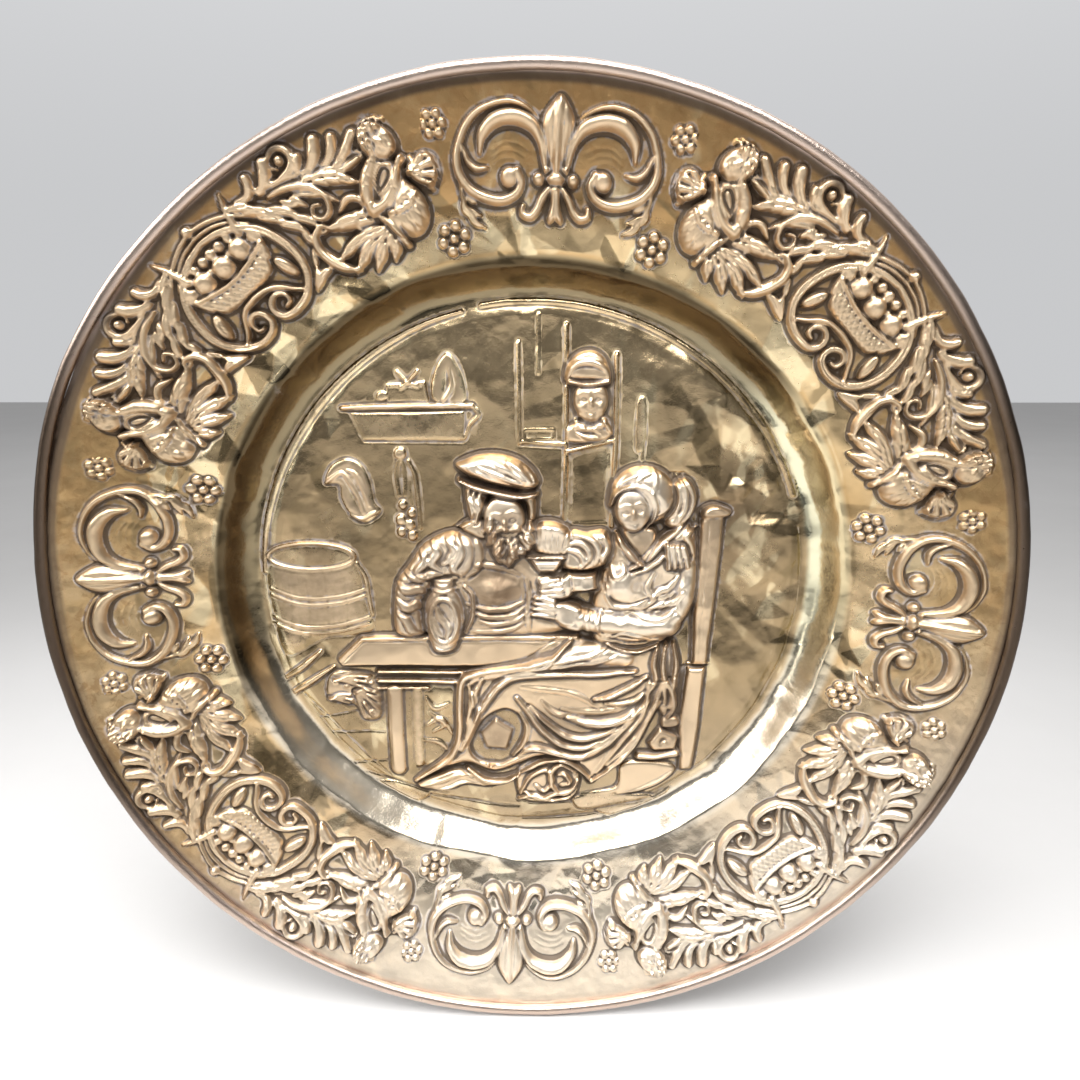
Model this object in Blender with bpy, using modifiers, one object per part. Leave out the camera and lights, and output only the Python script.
"""Repousse wall charger: one round dish of brass sheet with a rolled edge, made to hang on a wall.

The border carries four lilies, four baskets between blowing putti, and rosettes; the sunk well
carries a tavern scene. Metres, +Z up; the front faces -Y and the back of the well lies on y = 0.
Lengths below are millimetres and are turned into metres when the mesh is made.
"""
import math

import bpy
import numpy as np
from mathutils import Vector
from mathutils.geometry import delaunay_2d_cdt

MM = 0.001

# --- driving dimensions (mm) ------------------------------------------------------------------
RIM_RADIUS = 300.0          # outside of the rolled edge
BEAD_RADIUS = 3.5           # the roll itself
SHEET = 0.8                 # thickness of the brass
BEAD_HEIGHT = 49.8          # centre of the roll above the ground of the well
BORDER_DROP = 3.0           # the border starts this far below the roll's centre
BORDER_SLOPE = 0.304        # fall of the border towards the well
WELL_EDGE = 201.0           # where the border turns down
FLOOR_RADIUS = 184.0        # where the flat ground of the well begins
PICTURE_RADIUS = 177.0      # the picture stops here, and a flat band lies outside it
CIRCLE_STEPS = 72           # corners in each circle that the simplified face must keep
PATTERN_TURN = math.radians(3.4)    # the border was laid out a little clockwise of the picture
QUARTER = math.pi / 2

RINGS = 130                 # hammered surface before it is simplified
SPOKES = 660
KEEP_FACES = 0.0181         # share of those faces that is kept
PRESSED = 0.5               # heights are pressed to this share while simplifying, so no face folds
SLIVER = 0.05               # twice the flat area, in mm2, below which a face is laid out again
JOIN = 1e-4                 # points closer than this are one
ROUNDNESS = 0.8             # 0.5 gives a full round back, 1 a flatter one
BEAD_STEPS = 84
BEAD_SIDES = 6


# --- hammer work: forms raised on a field of points -------------------------------------------
class Field:
    """Points of the sheet seen from the front, x to the right and y up, with their relief."""

    def __init__(self, x, y):
        self.x = x
        self.y = y
        self.relief = np.zeros_like(x)

    def near(self, path, margin):
        low = path.min(axis=0) - margin
        high = path.max(axis=0) + margin
        return ((self.x > low[0]) & (self.x < high[0])
                & (self.y > low[1]) & (self.y < high[1]))

    def lay(self, where, shape, add):
        if add:
            self.relief[where] += shape
        else:
            self.relief[where] = np.maximum(self.relief[where], shape)


def smooth_path(points, closed=False, steps=6):
    """A curve through the points (Catmull-Rom)."""
    points = np.array(points, dtype=float)
    if closed:
        padded = np.vstack([points[-1], points, points[:2]])
    else:
        first = 2 * points[0] - points[1]
        last = 2 * points[-1] - points[-2]
        padded = np.vstack([first, points, last])
    t = np.linspace(0.0, 1.0, steps, endpoint=False)[:, None]
    pieces = []
    for a, b, c, d in zip(padded, padded[1:], padded[2:], padded[3:]):
        pieces.append(0.5 * (2 * b + (c - a) * t + (2 * a - 5 * b + 4 * c - d) * t ** 2
                             + (3 * b - a - 3 * c + d) * t ** 3))
    pieces.append(padded[-2][None, :])
    return np.vstack(pieces)


def path_distance(x, y, path):
    """Distance from each point to the path, and how far along the path (0 to 1) that is."""
    lengths = np.hypot(*np.diff(path, axis=0).T)
    starts = np.concatenate([[0.0], np.cumsum(lengths)])
    nearest = np.full(x.shape, np.inf)
    place = np.zeros(x.shape)
    for (ax, ay), (bx, by), start, length in zip(path, path[1:], starts, lengths):
        if length < 1e-9:
            continue
        dx, dy = bx - ax, by - ay
        t = np.clip(((x - ax) * dx + (y - ay) * dy) / length ** 2, 0.0, 1.0)
        away = np.hypot(x - ax - t * dx, y - ay - t * dy)
        closer = away < nearest
        nearest = np.where(closer, away, nearest)
        place = np.where(closer, (start + t * length) / starts[-1], place)
    return nearest, place


def inside(x, y, path):
    """Which points lie inside a closed path."""
    result = np.zeros(x.shape, dtype=bool)
    for (ax, ay), (bx, by) in zip(path, np.roll(path, -1, axis=0)):
        crosses = (ay > y) != (by > y)
        if ay != by:
            result ^= crosses & (x < (bx - ax) * (y - ay) / (by - ay) + ax)
    return result


def along(values, place):
    """Spread one value, or several, evenly along a path."""
    values = np.atleast_1d(np.array(values, dtype=float))
    return np.interp(place, np.linspace(0.0, 1.0, len(values)), values)


def ridge(field, points, width, height, add=False, curved=True):
    """A round-backed line. Width is half its breadth; both may be lists, for a taper."""
    path = smooth_path(points) if curved else np.array(points, dtype=float)
    where = field.near(path, np.max(width) + 1.0)
    away, place = path_distance(field.x[where], field.y[where], path)
    across = np.clip(away / along(width, place), 0.0, 1.0)
    field.lay(where, along(height, place) * (1.0 - across ** 2) ** ROUNDNESS, add)


def mass(field, outline, height, edge, add=False, curved=True):
    """A cushion with the given outline, rounded over the distance called edge."""
    path = smooth_path(outline, closed=True) if curved else np.array(outline + outline[:1], float)
    where = field.near(path, 1.0)
    x, y = field.x[where], field.y[where]
    away, _ = path_distance(x, y, path)
    in_from_edge = np.clip(away / edge, 0.0, 1.0)
    rise = (1.0 - (1.0 - in_from_edge) ** 2) ** ROUNDNESS * inside(x, y, path)
    field.lay(where, height * rise, add)


def dome(field, x, y, radius_x, radius_y, height, turn=0.0):
    """Part of an egg, turned by so many degrees."""
    reach = max(radius_x, radius_y)
    where = field.near(np.array([[x, y]]), reach)
    dx, dy = field.x[where] - x, field.y[where] - y
    c, s = math.cos(math.radians(turn)), math.sin(math.radians(turn))
    q = ((dx * c + dy * s) / radius_x) ** 2 + ((dy * c - dx * s) / radius_y) ** 2
    field.lay(where, height * np.clip(1.0 - q, 0.0, 1.0) ** ROUNDNESS, False)


def leaf(field, base, tip, width, height):
    """A plump leaf from its base to its pointed tip."""
    middle = tuple(0.45 * b + 0.55 * t for b, t in zip(base, tip))
    ridge(field, [base, middle, tip], [0.4 * width, width, 0.9 * width, 0.2 * width],
          [0.6 * height, height, height, 0.3 * height])


# --- border ornament, one mirrored half at a time ---------------------------------------------
def lily_half(field):
    """Half a lily. Its axis is x = 0 and y is the distance from the centre of the dish."""
    ridge(field, [(0, 280), (0, 270), (0, 258), (0, 246)], [2, 9, 8, 5, 4], [3, 6, 6, 5, 4])
    dome(field, 0, 242, 4.5, 4.0, 6.5)
    dome(field, 9, 242, 4.0, 4.0, 5.0)
    ridge(field, [(0, 238), (0, 229), (0, 221)], [3.5, 4.5, 5], [4.5, 4, 4])
    ridge(field, [(5, 238), (8, 229), (12, 224), (17, 225)], [3, 3, 3.4], [4, 4, 4])
    ridge(field, [(6, 246), (8, 256), (13, 267), (22, 274), (33, 276), (44, 270), (51, 259), (53, 248),
                  (50, 238), (43, 232), (34, 230), (26, 233), (22, 240)], [2.2, 2.6, 4.2, 4.6], 5.0)
    ridge(field, [(11, 250), (15, 261), (25, 267), (36, 265), (43, 256), (43, 249)],
          [2, 4.6, 5.2, 4.4, 1.5], [3, 6, 6.5, 5, 2.5])
    dome(field, 26, 243, 6.0, 5.5, 6.5)
    leaf(field, (52, 236), (38, 218), 5.0, 3.0)


def rosette(field, radius, degrees, size):
    """A flower on the border, at so many degrees from the lily's axis."""
    angle = math.radians(degrees)
    dome(field, radius * math.sin(angle), radius * math.cos(angle), size, size, 0.35 * size)


def basket_half(field):
    """Half a fruit basket in its scrolled frame, with its axis at x = 0."""
    ridge(field, [(0, 273), (12, 271), (22, 266), (29, 257), (32.5, 246), (32, 236), (28, 227),
                  (20, 222), (11, 221), (4, 225), (3, 232), (9, 235)], 3.4, 5.0)
    ridge(field, [(0, 240.5), (8, 239.5), (15, 236), (19, 230)], 2.8, 4.5)
    mass(field, [(-4, 255), (25, 256), (15, 242), (-4, 242)], 3.5, 3.0, curved=False)
    dome(field, 0, 262, 9.0, 8.0, 6.5)
    dome(field, 16, 261, 8.0, 7.0, 5.5)
    ridge(field, [(0, 285), (9, 284), (20, 278), (30, 271), (38, 262)], 3.0, 3.5)
    ridge(field, [(24, 268), (24, 276), (27, 287)], [4.0, 3.0, 2.0], [4, 3, 1])
    ridge(field, [(29, 272), (37, 265), (45, 255), (50, 245), (53, 238)], [4, 6, 6, 4], [3.5, 5, 5, 4])
    leaf(field, (28, 220), (45, 222), 4.5, 3.5)


def branch_half(field):
    """The leafy branch that runs from the basket to the putto's head."""
    ridge(field, [(31, 277), (44, 275), (58, 269), (72, 262), (86, 257), (100, 253)], [3, 4, 3], 4.0)
    for base, tip, width in (((44, 274), (58, 285), 5.0), ((74, 264), (94, 272), 5.5),
                             ((66, 260), (88, 243), 6.0), ((53, 266), (56, 250), 5.0)):
        leaf(field, base, tip, width, 4.8)
    dome(field, 68, 277, 8.0, 7.0, 4.5)
    dome(field, 63, 246, 8.0, 7.0, 4.5)


def putto_half(field):
    """A putto whose legs are leaves, blowing a shell. He faces away from the basket."""
    mass(field, [(84, 224), (70, 229), (58, 237), (49, 238), (44, 231), (47, 220), (53, 211),
                 (61, 204), (72, 200), (84, 200)], 6.0, 8.0)
    dome(field, 96, 213, 15.0, 14.0, 9.0)
    ridge(field, [(103, 245), (91, 238), (87, 226), (90, 214)], [6, 7, 8, 9], [7, 8, 8, 8])
    ridge(field, [(85, 226), (96, 224), (110, 231)], [5.0, 4.6, 4.2], 8.5)
    dome(field, 113, 252, 10.5, 10.5, 10.0)
    mass(field, [(110, 232), (129, 229), (127, 219), (118, 211), (110, 220)], 5.0, 5.0)


# --- the picture in the well --------------------------------------------------------------------
def room(field):
    """Back wall of the tavern: shelf, barrel, hanging things, window and the man at the hatch."""
    ridge(field, [(-120, 116), (-38, 117)], 3.2, 3.0, curved=False)
    mass(field, [(-112, 111), (-43, 111), (-43, 94), (-110, 94)], 1.6, 1.5, curved=False)
    mass(field, [(-92, 118), (-92, 130), (-68, 131), (-66, 118)], 2.2, 2.0, curved=False)
    mass(field, [(-62, 118), (-65, 130), (-60, 143), (-53, 150), (-46, 144), (-42, 130), (-44, 118)], 3, 4)
    mass(field, [(-136, 68), (-130, 79), (-119, 84), (-108, 75), (-101, 50), (-111, 41), (-121, 50),
                 (-125, 67)], 3.0, 4.0)
    ridge(field, [(-85, 86), (-86, 70), (-82, 48), (-80, 33)], [4, 4, 6, 6], 2.8)
    mass(field, [(-174, 22), (-160, 28), (-135, 27), (-119, 20), (-111, 0), (-109, -25), (-112, -37),
                 (-160, -50), (-172, -36)], 2.2, 4.0)
    mass(field, [(-9, 156), (23, 156), (23, 90), (-9, 90)], 1.4, 1.5, curved=False)
    mass(field, [(20, 150), (55, 150), (55, 40), (20, 40)], 2.2, 1.5, curved=False)
    ridge(field, [(21, 88), (53, 96)], 3.5, 4.0, curved=False)
    ridge(field, [(70, 120), (70, 93)], 3.5, 2.0, curved=False)
    dome(field, 36, 137, 14.0, 10.0, 7.0)
    dome(field, 37, 118, 11.0, 14.0, 6.5)
    mass(field, [(27, 106), (50, 106), (54, 96), (30, 92)], 3.5, 3.0)
    ridge(field, [(-172, -84), (-140, -66), (-134, -56)], 4.0, 2.0)
    mass(field, [(-145, -72), (-122, -64), (-106, -70), (-106, -92), (-120, -102), (-138, -92)], 4, 6)


def drinker(field):
    """The bearded man with his jug, one arm round the woman."""
    mass(field, [(-50, 35), (-36, 42), (-18, 30), (-2, 20), (-1, -8), (-3, -38), (-46, -38), (-50, 0)],
         8.0, 7.0)
    dome(field, -25, 0, 21.0, 12.0, 10.0)
    mass(field, [(-47, 35), (-62, 33), (-74, 26), (-84, 12), (-91, -4), (-92, -35), (-72, -36),
                 (-68, -8), (-50, 2), (-38, 12), (-38, 28)], 10.5, 9.0)
    mass(field, [(-44, 62), (-45, 48), (-38, 34), (-26, 18), (-17, 10), (-7, 17), (4, 27), (1, 42),
                 (0, 62)], 10.5, 10.0)
    mass(field, [(-49, 78), (-40, 85), (-28, 88), (-14, 86), (-3, 78), (4, 67), (-8, 65), (-38, 70)],
         12.0, 8.0)
    ridge(field, [(-46, 66), (-25, 64), (2, 64)], 3.2, 11.5)
    mass(field, [(-64, 6), (-52, 6), (-50, -2), (-44, -12), (-43, -27), (-50, -46), (-66, -46),
                 (-73, -27), (-72, -12), (-65, -2)], 13.0, 8.0)
    dome(field, 14, 31, 14.0, 11.0, 8.0)
    ridge(field, [(22, 28), (38, 29), (50, 22), (46, 10)], [7, 8, 7, 4], 7.5)
    mass(field, [(0, 19), (20, 19), (17, 10), (10, 7), (3, 10)], 8.5, 3.0)
    ridge(field, [(10, 8), (9, -5), (16, -12)], [3, 4, 6], [8, 8.5, 10])


def woman(field):
    """The seated woman: scarfed head, kerchief, arm across, and a long pleated skirt."""
    mass(field, [(56, 30), (98, 32), (105, 8), (101, -20), (88, -45), (50, -45), (46, -18), (45, -4),
                 (50, 14)], 8.5, 8.0)
    mass(field, [(58, 42), (76, 40), (97, 37), (102, 26), (88, 13), (72, 10), (56, 24), (52, 34)], 9.5, 7)
    mass(field, [(93, 77), (102, 74), (106, 63), (104, 48), (95, 44), (91, 58)], 8.5, 5.0)
    mass(field, [(53, 66), (60, 76), (75, 80), (90, 77), (98, 66), (97, 52), (88, 43), (72, 39),
                 (58, 42), (53, 52)], 13.0, 11.0)
    dome(field, 62, 0, 15.0, 13.0, 12.0)
    ridge(field, [(93, 8), (96, -10), (86, -29)], [12, 14, 13], 12.0)
    ridge(field, [(86, -29), (62, -28), (40, -23), (22, -14)], [12, 10, 7, 5], [12, 13, 12, 10])
    mass(field, [(50, -43), (85, -45), (85, -78), (74, -108), (53, -135), (38, -149), (28, -132),
                 (0, -126), (-22, -134), (-50, -139), (-79, -148), (-62, -127), (-53, -108),
                 (-51, -72), (-35, -62), (-5, -55), (26, -37)], 7.5, 7.0)
    folds = (([(45, -50), (10, -61), (-20, -69), (-33, -88), (-46, -112), (-54, -128)], 4.5, 3.5),
             ([(78, -70), (60, -79), (42, -83)], 3.5, 3.0),
             ([(78, -82), (58, -97), (36, -102), (20, -97)], 5.0, 3.5),
             ([(66, -100), (46, -112), (28, -112), (10, -100), (-4, -84)], 4.0, 3.0),
             ([(78, -85), (62, -112), (42, -124), (16, -123), (-8, -120)], 4.5, 3.0),
             ([(86, -74), (74, -104), (54, -130), (40, -145)], 4.0, 2.5))
    for line, width, height in folds:
        ridge(field, line, width, height, add=True)
    dome(field, -25, -114, 15.0, 17.0, 4.0)
    mass(field, [(84, -46), (100, -42), (102, -62), (97, -96), (88, -92)], 5.5, 5.0)
    mass(field, [(-83, -149), (-60, -142), (-38, -141), (-12, -150), (-36, -155), (-60, -156)], 6.0, 5.0)
    mass(field, [(-8, -142), (6, -129), (22, -132), (31, -146), (29, -158), (10, -163), (-6, -160)], 6, 6)


def furniture(field):
    """The table on the left and the tall chair on the right."""
    mass(field, [(-107, -37), (46, -37), (46, -58), (-45, -60), (-133, -58), (-116, -40)], 5.0, 2.0,
         curved=False)
    mass(field, [(-105, -58), (-47, -58), (-47, -76), (-105, -76)], 3.2, 2.0, curved=False)
    ridge(field, [(-95, -74), (-95, -138)], 6.0, 5.0, curved=False)
    ridge(field, [(-80, -74), (-80, -136)], 4.5, 3.0, curved=False)
    mass(field, [(107, 50), (126, 48), (123, 0), (118, -58), (104, -58), (107, 0)], 6, 3, curved=False)
    mass(field, [(103, -60), (116, -60), (112, -136), (101, -134)], 4.5, 3.0, curved=False)
    ridge(field, [(76, -127), (101, -125)], 3.5, 4.0, curved=False)
    mass(field, [(90, -102), (101, -116), (90, -125), (79, -116)], 4.0, 3.0, curved=False)


# --- the dish -----------------------------------------------------------------------------------
def ground_height(radius):
    """Height of the plain dish above the ground of the well."""
    rim_ground = BEAD_HEIGHT - BORDER_DROP
    border = rim_ground - BORDER_SLOPE * (RIM_RADIUS - 8.0 - radius)
    turned_up = rim_ground + 0.25 * (radius - (RIM_RADIUS - 8.0))
    border = np.maximum(border, np.where(radius > RIM_RADIUS - 8.0, turned_up, -np.inf))
    edge_height = rim_ground - BORDER_SLOPE * (RIM_RADIUS - 8.0 - WELL_EDGE)
    fall = np.clip((WELL_EDGE - radius) / (WELL_EDGE - FLOOR_RADIUS), 0.0, 1.0)
    wall = edge_height * (1.0 - np.sin(fall * QUARTER) ** 1.35)
    return np.where(radius > WELL_EDGE, border, wall)


def folded(x, y, turn):
    """Fold the border onto one half motif: x across from the nearest axis, y outwards."""
    radius = np.hypot(x, y)
    angle = np.mod(np.arctan2(x, y) - turn + QUARTER / 2, QUARTER) - QUARTER / 2
    return radius * np.abs(np.sin(angle)), radius * np.cos(angle)


def dish_relief(x, y):
    """Relief over the whole face, in millimetres above the ground."""
    radius = np.hypot(x, y)
    lilies = Field(*folded(x, y, PATTERN_TURN))
    lily_half(lilies)
    rosette(lilies, 274.0, 14.5, 8.5)
    rosette(lilies, 218.0, 15.2, 10.5)
    baskets = Field(*folded(x, y, PATTERN_TURN + QUARTER / 2))
    for carve in (basket_half, branch_half, putto_half):
        carve(baskets)
    border = np.maximum(lilies.relief, baskets.relief) * np.clip((radius - WELL_EDGE) / 6.0, 0.0, 1.0)
    picture = Field(x, y)
    for carve in (room, furniture, drinker, woman):
        carve(picture)
    return np.where(radius > WELL_EDGE, border,
                    picture.relief * np.clip((PICTURE_RADIUS - radius) / 4.0, 0.0, 1.0))


def face_height(x, z):
    """How far the front face stands in front of the wall, in millimetres."""
    return ground_height(np.hypot(x, z)) + dish_relief(x, z) + SHEET


def guide(name, mesh, holder):
    """An object that only helps to make the dish."""
    result = bpy.data.objects.new(name, mesh)
    result.hide_render = True
    result.display_type = "WIRE"
    holder.objects.link(result)
    return result


def evaluated_mesh(thing):
    return bpy.data.meshes.new_from_object(thing.evaluated_get(bpy.context.evaluated_depsgraph_get()))


def turned_dish(holder):
    """The dish as it comes off the lathe: its profile turned about the Y axis, heights pressed."""
    profile = bpy.data.meshes.new("profile")
    radii = np.linspace(0.0, RIM_RADIUS - BEAD_RADIUS - 0.5, RINGS + 1)
    heights = -(ground_height(radii) + SHEET) * PRESSED
    points = np.stack([radii, heights, np.zeros_like(radii)], axis=1) * MM
    profile.from_pydata(points.tolist(), [(k, k + 1) for k in range(RINGS)], [])
    dish = guide("profile", profile, holder)
    turn = dish.modifiers.new("turn", "SCREW")
    turn.axis = "Y"
    turn.steps = SPOKES
    turn.render_steps = SPOKES
    turn.use_normal_flip = True
    turn.use_merge_vertices = True
    turn.merge_threshold = 1e-5
    return evaluated_mesh(dish)


def hammered(mesh):
    """Raise the relief on the turned dish."""
    spots = np.empty(len(mesh.vertices) * 3)
    mesh.vertices.foreach_get("co", spots)
    spots = spots.reshape(-1, 3)
    spots[:, 1] = -face_height(spots[:, 0] / MM, spots[:, 2] / MM) * PRESSED * MM
    mesh.vertices.foreach_set("co", spots.ravel())
    return mesh


def simplified(mesh, holder):
    """The same face with far fewer triangles, laid out again flat so that none is folded."""
    face = guide("hammered_face", mesh, holder)
    simplify = face.modifiers.new("simplify", "DECIMATE")
    simplify.ratio = KEEP_FACES
    simplify.use_collapse_triangulate = True
    kept = evaluated_mesh(face)
    flat = [Vector((v.co.x, v.co.z)) / MM for v in kept.vertices]
    edges = set()
    for a, b, c in (tuple(p.vertices) for p in kept.polygons):
        if (flat[b] - flat[a]).cross(flat[c] - flat[a]) > SLIVER:
            edges |= {(min(a, b), max(a, b)), (min(b, c), max(b, c)), (min(a, c), max(a, c))}
    for radius in (PICTURE_RADIUS, FLOOR_RADIUS, WELL_EDGE):
        first = len(flat)
        turns = (step * math.tau / CIRCLE_STEPS for step in range(CIRCLE_STEPS))
        flat.extend(Vector((radius * math.sin(turn), radius * math.cos(turn))) for turn in turns)
        edges |= {(first + k, first + (k + 1) % CIRCLE_STEPS) for k in range(CIRCLE_STEPS)}
    spots, _, faces, _, _, _ = delaunay_2d_cdt(flat, sorted(edges), [], 0, JOIN)
    spots = np.array([spot[:] for spot in spots])
    height = face_height(spots[:, 0], spots[:, 1])
    return np.stack([spots[:, 0], -height, spots[:, 1]], axis=1) * MM, np.array(faces)


def sheet_of_brass(points, corners):
    """Give the face its thickness, measured square to the plain dish, and close it at the edge.

    The back is the face moved straight back: Solidify would fold through itself in narrow hollows.
    """
    radius = np.hypot(points[:, 0], points[:, 2]) / MM
    slope = ground_height(radius) - ground_height(radius - 1.0)
    back = points.copy()
    back[:, 1] += SHEET * MM * np.hypot(1.0, slope)
    count = len(points)
    half_edges = {(int(a), int(b)) for a, b, c in corners}
    half_edges |= {(int(b), int(c)) for a, b, c in corners}
    half_edges |= {(int(c), int(a)) for a, b, c in corners}
    rim = sorted((a, b) for a, b in half_edges if (b, a) not in half_edges)
    faces = corners.tolist() + (corners[:, ::-1] + count).tolist()
    faces += [(b, a, a + count, b + count) for a, b in rim]
    mesh = bpy.data.meshes.new("charger")
    mesh.from_pydata(np.vstack([points, back]).tolist(), [], faces)
    return mesh


def rolled_edge():
    """The bead that the edge of the sheet is rolled into."""
    bpy.ops.mesh.primitive_torus_add(
        major_segments=BEAD_STEPS, minor_segments=BEAD_SIDES,
        major_radius=(RIM_RADIUS - BEAD_RADIUS) * MM, minor_radius=BEAD_RADIUS * MM,
        location=(0.0, -(BEAD_HEIGHT + SHEET) * MM, 0.0), rotation=(QUARTER, 0.0, 0.0))
    bead = bpy.context.active_object
    bead.name = "rolled_edge_form"
    bead.hide_render = True
    bead.display_type = "WIRE"
    return bead


def brass():
    material = bpy.data.materials.new("brass")
    material.use_nodes = True
    shader = material.node_tree.nodes["Principled BSDF"]
    shader.inputs["Base Color"].default_value = (0.62, 0.45, 0.22, 1.0)
    shader.inputs["Metallic"].default_value = 1.0
    shader.inputs["Roughness"].default_value = 0.32
    return material


def collection(name):
    result = bpy.data.collections.new(name)
    bpy.context.scene.collection.children.link(result)
    return result


def build():
    for old in list(bpy.data.objects):
        bpy.data.objects.remove(old, do_unlink=True)
    parts = collection("repousse_wall_charger")
    forms = collection("forms")

    bead = rolled_edge()
    for holder in list(bead.users_collection):
        holder.objects.unlink(bead)
    forms.objects.link(bead)

    points, corners = simplified(hammered(turned_dish(forms)), forms)
    charger = bpy.data.objects.new("charger", sheet_of_brass(points, corners))
    parts.objects.link(charger)
    charger.data.materials.append(brass())

    roll = charger.modifiers.new("roll", "BOOLEAN")
    roll.operation = "UNION"
    roll.solver = "EXACT"
    roll.object = bead


build()
